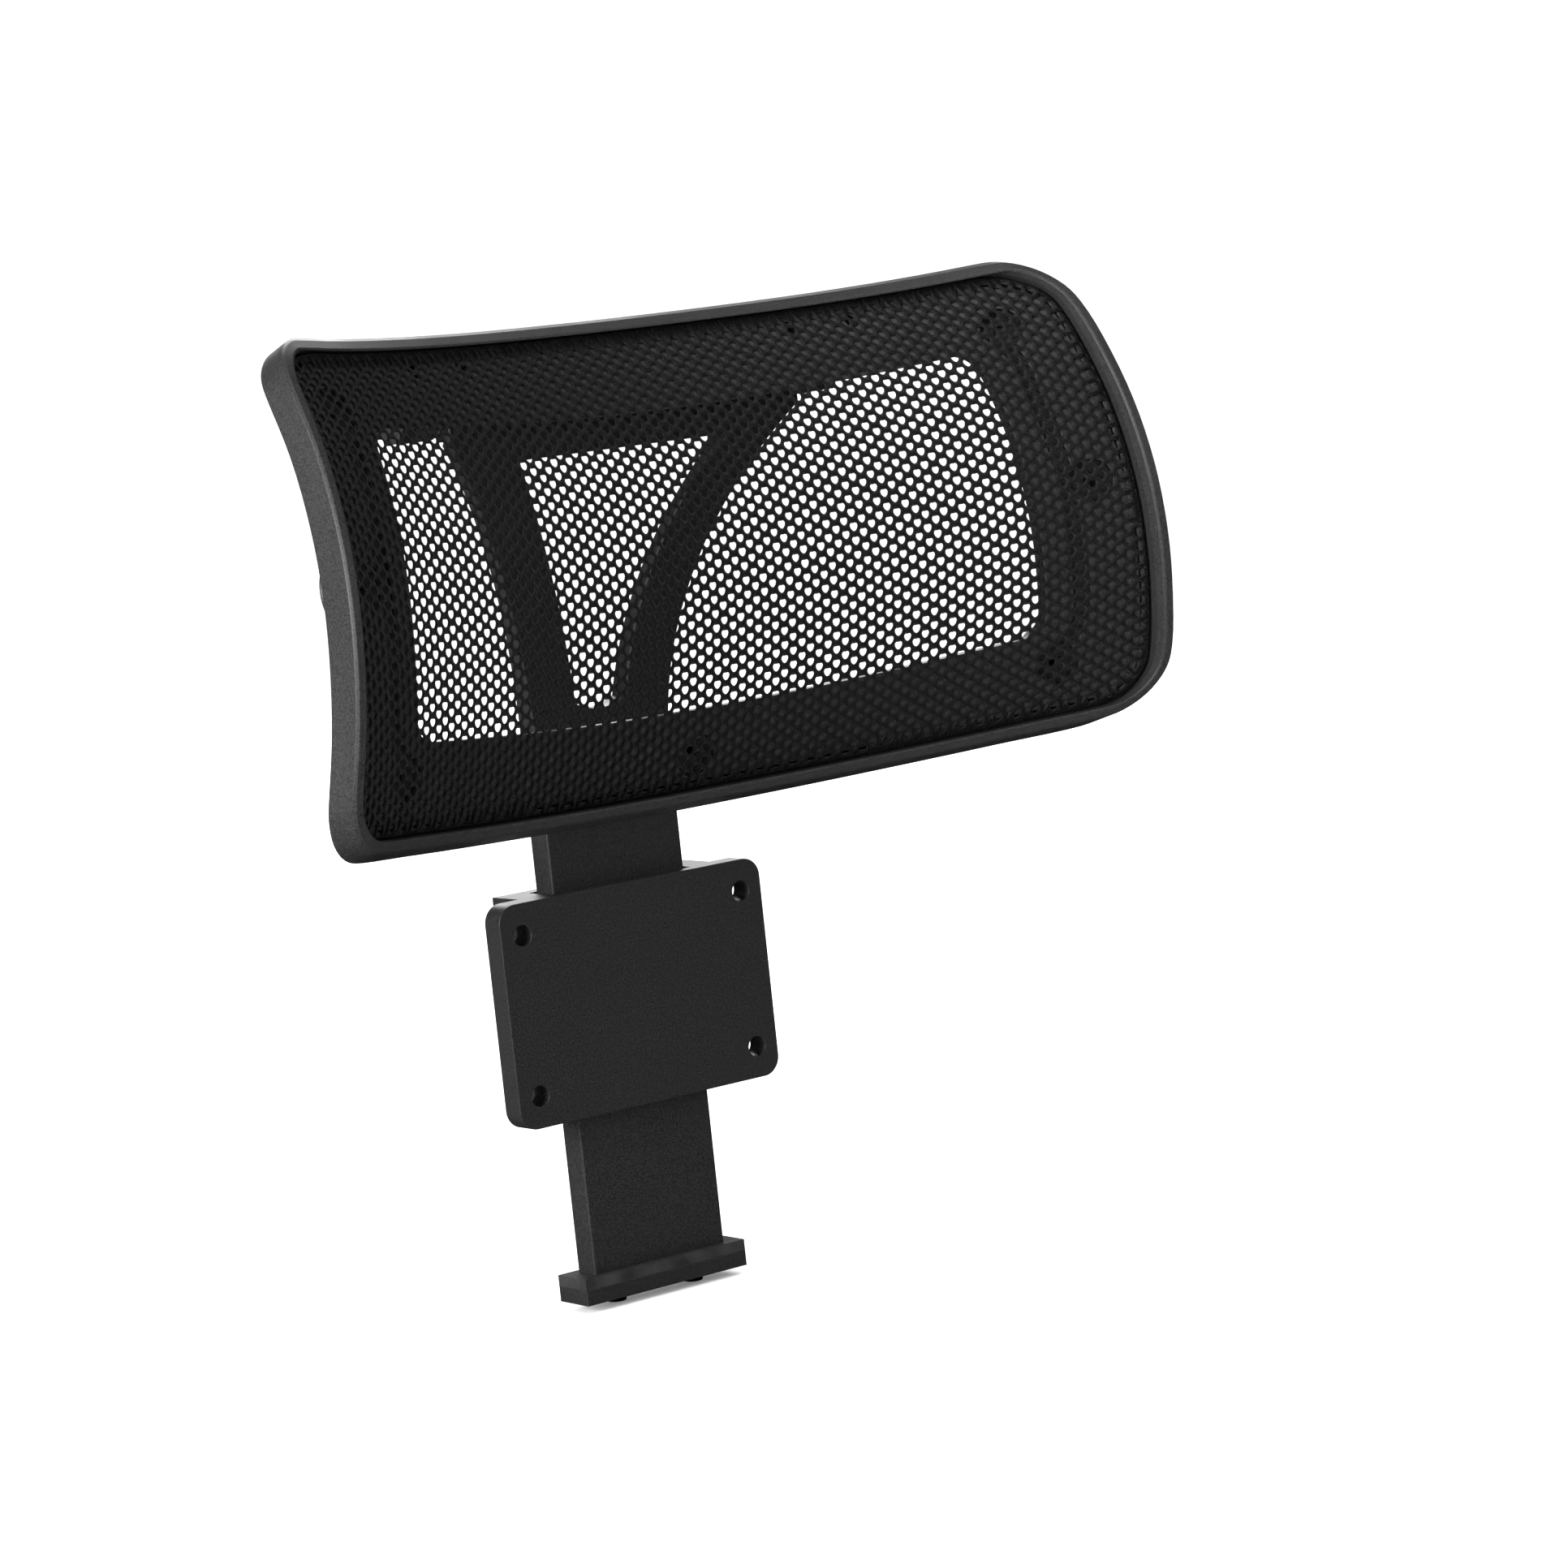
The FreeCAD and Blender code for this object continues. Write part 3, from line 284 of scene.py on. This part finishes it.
def knitted_cloth():
    """One six-sided cell round every hole: twelve points on the cell's border, shared with its
    neighbours, and twelve on the hole's edge. Front and back meet at the hole's edge, so every
    strand is round. The outer cells are drawn out to the cloth's outline."""
    column, row = np.meshgrid(np.arange(-54, 55), np.arange(-24, 27), indexing="ij")
    centre = np.stack([column * COLUMN_PITCH, (row + 0.5 * (column % 2)) * ROW_PITCH], axis=-1)
    centre = centre.reshape(-1, 2)
    centre = centre[inside(pulled_on(centre), face_outline(CLOTH_INSET + HOLE_MARGIN))]
    half_top = (COLUMN_PITCH ** 2 - ROW_PITCH ** 2 / 4) / (2 * COLUMN_PITCH)
    half_wide = (COLUMN_PITCH ** 2 + ROW_PITCH ** 2 / 4) / (2 * COLUMN_PITCH)
    corners = np.array([[half_wide, 0], [half_top, ROW_PITCH / 2], [-half_top, ROW_PITCH / 2],
                        [-half_wide, 0], [-half_top, -ROW_PITCH / 2], [half_top, -ROW_PITCH / 2]])
    border = np.stack([corners, (corners + np.roll(corners, -1, axis=0)) / 2], axis=1).reshape(-1, 2)
    hole = np.array(SHIELD) / 1000
    chance = np.random.default_rng(7)
    swell = 1 + chance.normal(0, 0.03, (len(centre), 1, 1))
    drift = chance.normal(0, 0.00004, (len(centre), 1, 2))
    border_all = (centre[:, None] + border).reshape(-1, 2)
    hole_all = (centre[:, None] + hole * swell + drift).reshape(-1, 2)
    lattice = np.round(border_all / [COLUMN_PITCH / 20, ROW_PITCH / 8]).astype(int)
    keys, shared = np.unique(lattice, axis=0, return_inverse=True)
    shared = shared.reshape(len(centre), CELL_POINTS)
    rim = np.zeros((len(keys), 2))
    rim[shared.ravel()] = border_all
    count = len(centre)
    holes = np.arange(count * CELL_POINTS).reshape(count, CELL_POINTS)
    following = np.roll(np.arange(CELL_POINTS), -1)

    edges = np.stack([shared, shared[:, following]], axis=-1).reshape(-1, 2)
    sorted_edges = np.sort(edges, axis=1)
    _, first, uses = np.unique(sorted_edges, axis=0, return_index=True, return_counts=True)
    open_edges = edges[first[uses == 1]]
    open_points = np.unique(open_edges)
    on_face = pulled_on(rim)
    line = face_outline(CLOTH_INSET, fine=6)
    gap = np.linalg.norm(on_face[open_points, None] - line[None], axis=2)
    on_face[open_points] = line[np.argmin(gap, axis=1)]

    half = CLOTH_THICKNESS / 2
    tuck = np.zeros(len(on_face))
    tuck[open_points] = EDGE_TUCK
    front = saddle(on_face[:, 0], on_face[:, 1], CLOTH_MIDDLE - half + tuck)
    rear = saddle(on_face[:, 0], on_face[:, 1], CLOTH_MIDDLE + half + tuck)
    rims = pulled_on(hole_all)
    middle = saddle(rims[:, 0], rims[:, 1], CLOTH_MIDDLE)
    points = np.concatenate([front, rear, middle])
    to_rear = len(front)
    to_hole = 2 * len(front)
    here, there = shared, shared[:, following]
    lip, lip_next = holes + to_hole, holes[:, following] + to_hole
    face_front = np.stack([here, lip, lip_next, there], axis=-1).reshape(-1, 4)
    face_rear = np.stack([here + to_rear, there + to_rear, lip_next, lip], axis=-1).reshape(-1, 4)
    side = np.column_stack([open_edges[:, 0], open_edges[:, 1], open_edges[:, 1] + to_rear,
                            open_edges[:, 0] + to_rear])
    quads = np.concatenate([face_front, face_rear, side])
    mesh = bpy.data.meshes.new("knitted_cloth")
    mesh.from_pydata(points.tolist(), [], quads.tolist())
    layout = np.concatenate([rim, rim, hole_all])
    pattern = mesh.uv_layers.new(name="knit")
    pattern.uv.foreach_set("vector", (layout[quads.ravel()] * 1000).astype(np.float32).ravel())
    mesh.shade_smooth()
    mesh.update()
    return bpy.data.objects.new("mesh_cloth", mesh)


# The yarn's pattern in millimetres: the length of a loop, its slant, the ribs' width, and how many
# filaments cross a millimetre.
LOOP_LENGTH = 0.62
LOOP_SLANT = 1.25
RIB_WIDTH = 0.5
FILAMENTS = 9.0


def knit_material():
    """Black polyester yarn: a zigzag of loops down every column, fine filaments, a soft sheen. The
    height is the sine along the slanted loops plus the sine across the ribs plus noise."""
    made = bpy.data.materials.new("black_knit")
    made.use_nodes = True
    tree = made.node_tree
    surface = tree.nodes["Principled BSDF"]
    surface.inputs["Roughness"].default_value = 0.5
    surface.inputs["Specular IOR Level"].default_value = 0.2
    surface.inputs["Sheen Weight"].default_value = 0.05
    surface.inputs["Sheen Roughness"].default_value = 0.45

    def arithmetic(operation, first, second=None):
        step = tree.nodes.new("ShaderNodeMath")
        step.operation = operation
        for socket, value in zip(step.inputs, (first, second)):
            if value is None:
                continue
            if isinstance(value, (int, float)):
                socket.default_value = value
            else:
                tree.links.new(value, socket)
        return step.outputs[0]

    layout = tree.nodes.new("ShaderNodeUVMap")
    layout.uv_map = "knit"
    split = tree.nodes.new("ShaderNodeSeparateXYZ")
    tree.links.new(layout.outputs["UV"], split.inputs[0])
    pitch = COLUMN_PITCH * 1000
    side = arithmetic("PINGPONG", split.outputs["X"], pitch / 2)
    slant = arithmetic("MULTIPLY", side, LOOP_SLANT)
    loops = arithmetic("ADD", split.outputs["Y"], slant)
    loops = arithmetic("SINE", arithmetic("MULTIPLY", loops, 2 * math.pi / LOOP_LENGTH))
    ribs = arithmetic("SINE", arithmetic("MULTIPLY", side, 2 * math.pi / RIB_WIDTH))
    filaments = tree.nodes.new("ShaderNodeTexNoise")
    filaments.inputs["Scale"].default_value = FILAMENTS
    filaments.inputs["Detail"].default_value = 4.0
    tree.links.new(layout.outputs["UV"], filaments.inputs["Vector"])
    height = arithmetic("ADD", arithmetic("MULTIPLY", loops, 0.6), arithmetic("MULTIPLY", ribs, 0.3))
    height = arithmetic("ADD", height, arithmetic("MULTIPLY", filaments.outputs["Fac"], 0.8))
    bump = tree.nodes.new("ShaderNodeBump")
    bump.inputs["Strength"].default_value = 0.85
    bump.inputs["Distance"].default_value = 0.00012
    tree.links.new(height, bump.inputs["Height"])
    tree.links.new(bump.outputs["Normal"], surface.inputs["Normal"])
    # Painted shade and highlight: the yarn's colour follows its height, darker in the hollows between
    # loops and ribs and paler on their crests; the filament noise in it is random tone.
    tint = tree.nodes.new("ShaderNodeValToRGB")
    tint.color_ramp.elements[0].position = 0.2
    tint.color_ramp.elements[0].color = (0.0014, 0.0014, 0.0015, 1)
    tint.color_ramp.elements[1].position = 0.9
    tint.color_ramp.elements[1].color = (0.0062, 0.0062, 0.0066, 1)
    tree.links.new(arithmetic("ADD", arithmetic("MULTIPLY", height, 0.35), 0.35), tint.inputs["Fac"])
    tree.links.new(tint.outputs["Color"], surface.inputs["Base Color"])
    return made


cloth = knitted_cloth()
bpy.context.scene.collection.objects.link(cloth)
cloth.data.materials.append(knit_material())
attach(cloth, "headrest")
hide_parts("mesh_panel")

# ------------------------------------------------------------------ moulded parts
# Injection-moulded nylon from a spark-eroded tool: a fine grain all over, slightly glossy where it
# has been handled, and a painted highlight that pales its edges.


def moulded_plastic(name, shade, roughness, grain, rounding):
    """Grain from fine noise, cloudy gloss from coarse noise, and a painted highlight: edges paled
    where the surface's rounded direction leaves its flat one."""
    made = bpy.data.materials.new(name)
    made.use_nodes = True
    tree = made.node_tree
    surface = tree.nodes["Principled BSDF"]
    surface.inputs["Specular IOR Level"].default_value = 0.4
    place = tree.nodes.new("ShaderNodeTexCoord")

    def noise(scale, detail):
        texture = tree.nodes.new("ShaderNodeTexNoise")
        texture.inputs["Scale"].default_value = scale
        texture.inputs["Detail"].default_value = detail
        tree.links.new(place.outputs["Object"], texture.inputs["Vector"])
        return texture.outputs["Fac"]

    fine = noise(1700, 3)
    clouds = noise(28, 4)
    spread = tree.nodes.new("ShaderNodeMapRange")
    spread.inputs["From Min"].default_value = 0.3
    spread.inputs["From Max"].default_value = 0.7
    spread.inputs["To Min"].default_value = roughness - 0.06
    spread.inputs["To Max"].default_value = roughness + 0.06
    tree.links.new(clouds, spread.inputs["Value"])
    tree.links.new(spread.outputs["Result"], surface.inputs["Roughness"])
    round_edge = tree.nodes.new("ShaderNodeBevel")
    round_edge.samples = 6
    round_edge.inputs["Radius"].default_value = rounding
    bump = tree.nodes.new("ShaderNodeBump")
    bump.inputs["Strength"].default_value = grain
    bump.inputs["Distance"].default_value = 0.00006
    tree.links.new(fine, bump.inputs["Height"])
    tree.links.new(round_edge.outputs["Normal"], bump.inputs["Normal"])
    tree.links.new(bump.outputs["Normal"], surface.inputs["Normal"])
    flat = tree.nodes.new("ShaderNodeNewGeometry")
    match = tree.nodes.new("ShaderNodeVectorMath")
    match.operation = "DOT_PRODUCT"
    tree.links.new(round_edge.outputs["Normal"], match.inputs[0])
    tree.links.new(flat.outputs["Normal"], match.inputs[1])
    # Painted highlight: where the rounded direction leaves the flat one, the colour pales towards 1.5
    # times the shade.
    edge_highlight = tree.nodes.new("ShaderNodeMapRange")
    edge_highlight.inputs["From Min"].default_value = 1.0
    edge_highlight.inputs["From Max"].default_value = 0.8
    tree.links.new(match.outputs["Value"], edge_highlight.inputs["Value"])
    speckle = tree.nodes.new("ShaderNodeMapRange")
    speckle.inputs["From Min"].default_value = 0.35
    speckle.inputs["From Max"].default_value = 0.65
    speckle.inputs["To Min"].default_value = 0.6
    speckle.inputs["To Max"].default_value = 1.45
    tree.links.new(fine, speckle.inputs["Value"])
    body = tree.nodes.new("ShaderNodeMix")
    body.data_type = "RGBA"
    body.inputs["A"].default_value = (*shade, 1)
    body.inputs["B"].default_value = (*[1.5 * part for part in shade], 1)
    tree.links.new(edge_highlight.outputs["Result"], body.inputs["Factor"])
    toned = tree.nodes.new("ShaderNodeVectorMath")
    toned.operation = "SCALE"
    tree.links.new(body.outputs["Result"], toned.inputs[0])
    tree.links.new(speckle.outputs["Result"], toned.inputs["Scale"])
    tree.links.new(toned.outputs["Vector"], surface.inputs["Base Color"])
    return made


def finish_nodes(names, material):
    """Give every slot of the named parts the same finish."""
    for name in names:
        for slot in nodes[name].material_slots:
            slot.material = material


ring_grey = moulded_plastic("ring_grey_nylon", (0.020, 0.020, 0.0208), 0.47, 0.5, 0.0006)
finish_nodes(["frame_ring", "hinge_bracket_left", "hinge_bracket_right"], ring_grey)
carrier_grey = moulded_plastic("carrier_grey_nylon", (0.018, 0.018, 0.0188), 0.55, 0.3, 0.0004)
finish_nodes(["mesh_carrier", "mesh_retaining_strip"], carrier_grey)
black_nylon = moulded_plastic("black_nylon", (0.012, 0.012, 0.0125), 0.5, 0.45, 0.0006)
finish_nodes(["sleeve_front", "sleeve_rear", "stem_stop", "hinge_cap_left", "hinge_cap_right"],
             black_nylon)
yoke_black = moulded_plastic("yoke_black_nylon", (0.012, 0.012, 0.0125), 0.5, 0.4, 0.0012)
finish_nodes(["yoke"], yoke_black)
acetal = moulded_plastic("natural_acetal", (0.62, 0.60, 0.54), 0.32, 0.15, 0.0003)
finish_nodes(["glide_liner_left", "glide_liner_right"], acetal)
black_acetal = moulded_plastic("black_acetal", (0.012, 0.012, 0.0125), 0.32, 0.15, 0.0003)
finish_nodes(["hinge_bush_left", "hinge_bush_right"], black_acetal)
washer_nylon = moulded_plastic("washer_nylon", (0.16, 0.16, 0.165), 0.4, 0.2, 0.0002)
finish_nodes(["friction_washer_left", "friction_washer_right"], washer_nylon)

# ------------------------------------------------------------------ rubber buffer
# Soft moulded rubber plate round the stem that lands on the sleeve: dull, a little bloomed.


def rubber():
    """Very matt black with a cloudy grey bloom and coarse, shallow pores."""
    made = bpy.data.materials.new("buffer_rubber")
    made.use_nodes = True
    tree = made.node_tree
    surface = tree.nodes["Principled BSDF"]
    surface.inputs["Roughness"].default_value = 0.82
    surface.inputs["Specular IOR Level"].default_value = 0.3
    place = tree.nodes.new("ShaderNodeTexCoord")
    bloom = tree.nodes.new("ShaderNodeTexNoise")
    bloom.inputs["Scale"].default_value = 90
    bloom.inputs["Detail"].default_value = 5
    pores = tree.nodes.new("ShaderNodeTexVoronoi")
    pores.inputs["Scale"].default_value = 1300
    tint = tree.nodes.new("ShaderNodeValToRGB")
    tint.color_ramp.elements[0].position = 0.35
    tint.color_ramp.elements[0].color = (0.010, 0.010, 0.010, 1)
    tint.color_ramp.elements[1].position = 0.75
    tint.color_ramp.elements[1].color = (0.030, 0.030, 0.029, 1)
    bump = tree.nodes.new("ShaderNodeBump")
    bump.inputs["Strength"].default_value = 0.4
    bump.inputs["Distance"].default_value = 0.0001
    tree.links.new(place.outputs["Object"], bloom.inputs["Vector"])
    tree.links.new(place.outputs["Object"], pores.inputs["Vector"])
    tree.links.new(bloom.outputs["Fac"], tint.inputs["Fac"])
    tree.links.new(tint.outputs["Color"], surface.inputs["Base Color"])
    tree.links.new(pores.outputs["Distance"], bump.inputs["Height"])
    tree.links.new(bump.outputs["Normal"], surface.inputs["Normal"])
    return made


finish_nodes(["stop_bumper"], rubber())

# ------------------------------------------------------------------ steel
# Blackened cap screws, a drawn hinge pin whose marks run along it with its two clips, and a leaf of
# blued spring steel with rolling marks along its length.


def worked_steel(name, shade, tarnish, roughness, marks):
    """Metal whose tone and gloss vary over long thin streaks, with the streaks' direction given by
    how much marks stretches each axis."""
    made = bpy.data.materials.new(name)
    made.use_nodes = True
    tree = made.node_tree
    surface = tree.nodes["Principled BSDF"]
    surface.inputs["Metallic"].default_value = 1.0
    place = tree.nodes.new("ShaderNodeTexCoord")
    stretch = tree.nodes.new("ShaderNodeMapping")
    stretch.inputs["Scale"].default_value = marks
    streaks = tree.nodes.new("ShaderNodeTexNoise")
    streaks.inputs["Scale"].default_value = 1.0
    streaks.inputs["Detail"].default_value = 4
    clouds = tree.nodes.new("ShaderNodeTexNoise")
    clouds.inputs["Scale"].default_value = 220
    clouds.inputs["Detail"].default_value = 3
    tint = tree.nodes.new("ShaderNodeValToRGB")
    tint.color_ramp.elements[0].position = 0.35
    tint.color_ramp.elements[0].color = (*tarnish, 1)
    tint.color_ramp.elements[1].position = 0.65
    tint.color_ramp.elements[1].color = (*shade, 1)
    gloss = tree.nodes.new("ShaderNodeMapRange")
    gloss.inputs["To Min"].default_value = roughness - 0.1
    gloss.inputs["To Max"].default_value = roughness + 0.12
    bump = tree.nodes.new("ShaderNodeBump")
    bump.inputs["Strength"].default_value = 0.25
    bump.inputs["Distance"].default_value = 0.00004
    tree.links.new(place.outputs["Object"], stretch.inputs["Vector"])
    tree.links.new(stretch.outputs["Vector"], streaks.inputs["Vector"])
    tree.links.new(place.outputs["Object"], clouds.inputs["Vector"])
    tree.links.new(clouds.outputs["Fac"], tint.inputs["Fac"])
    tree.links.new(streaks.outputs["Fac"], gloss.inputs["Value"])
    tree.links.new(streaks.outputs["Fac"], bump.inputs["Height"])
    tree.links.new(tint.outputs["Color"], surface.inputs["Base Color"])
    tree.links.new(gloss.outputs["Result"], surface.inputs["Roughness"])
    tree.links.new(bump.outputs["Normal"], surface.inputs["Normal"])
    return made


black_steel = worked_steel("blackened_steel", (0.11, 0.11, 0.12), (0.05, 0.048, 0.046), 0.38,
                           (900, 900, 900))
finish_nodes(["carrier_screws", "hinge_bracket_screws", "sleeve_screws", "stem_stop_screws",
              "detent_spring_screws"], black_steel)
pin_steel = worked_steel("drawn_steel", (0.62, 0.61, 0.59), (0.44, 0.43, 0.41), 0.28, (60, 1500, 1500))
finish_nodes(["hinge_pin", "hinge_clips"], pin_steel)
spring_steel = worked_steel("spring_steel", (0.30, 0.31, 0.35), (0.20, 0.20, 0.24), 0.3, (1500, 400, 60))
finish_nodes(["detent_spring"], spring_steel)
